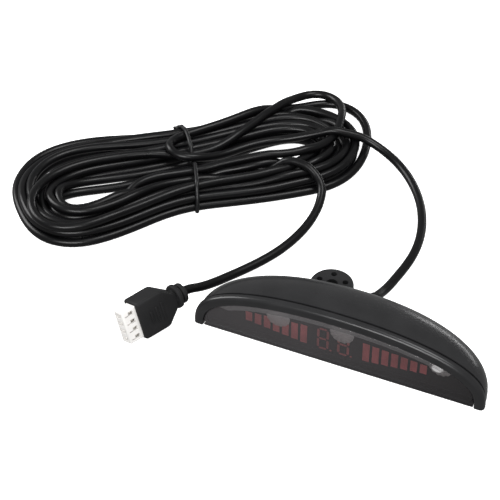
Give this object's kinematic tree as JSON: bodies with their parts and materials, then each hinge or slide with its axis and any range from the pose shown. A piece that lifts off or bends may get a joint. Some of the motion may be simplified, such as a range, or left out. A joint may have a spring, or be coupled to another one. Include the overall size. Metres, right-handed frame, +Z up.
{
  "type": "parking sensor display",
  "caption": "Crescent dashboard display of a parking sensor: smoked lens over red bars and digits, buzzer turret behind, thin cable tied in a hank, white plug in a black boot.",
  "frame": {"origin": "on the surface it stands on, under the middle of the display without its cable", "axes": "+X along the display to the right as seen from the front, the display faces -Y, +Z up"},
  "size_m": [0.2031, 0.1592, 0.0226],
  "materials": {
    "housing": "satin charcoal moulding",
    "lens": "smoked gloss, frosted along its top",
    "mask": "matt dark sheet",
    "diffuser": "unlit red diffuser",
    "light_frame": "grey moulding",
    "board": "solder mask",
    "led": "clear resin chip",
    "steel": "plated",
    "chip": "matt resin",
    "sleeve": "shrink sleeve",
    "header": "cream nylon",
    "core": "insulated wire",
    "pad": "foam tape with its liner",
    "gland": "matt",
    "cord": "semi-gloss sheath",
    "tie": "coated wire",
    "boot": "moulded satin",
    "plug": "white nylon",
    "contact": "tinned"
  },
  "bodies": {
    "root": {"rear_shell": "housing", "front_frame": "housing", "lens": "lens", "display_mask": "mask", "bars_left": "diffuser", "bars_right": "diffuser", "digit_left": "diffuser", "digit_right": "diffuser", "light_frame": "light_frame", "circuit_board": "board", "bar_leds": "led", "digit_leds": "led", "frame_screws": "steel", "controller_chip": "chip", "oscillator": "steel", "capacitors": "sleeve", "wire_header": "header", "lead_wires": "core", "buzzer": "chip", "base_cover": "housing", "base_screws": "steel", "adhesive_pad": "pad", "cable_gland": "gland", "cable_tail": "cord", "display_lead": "cord", "hank": "cord", "hank_tie": "tie", "plug_lead": "cord", "plug_boot": "boot", "plug_housing": "plug", "plug_terminals": "contact"}
  },
  "joints": []
}
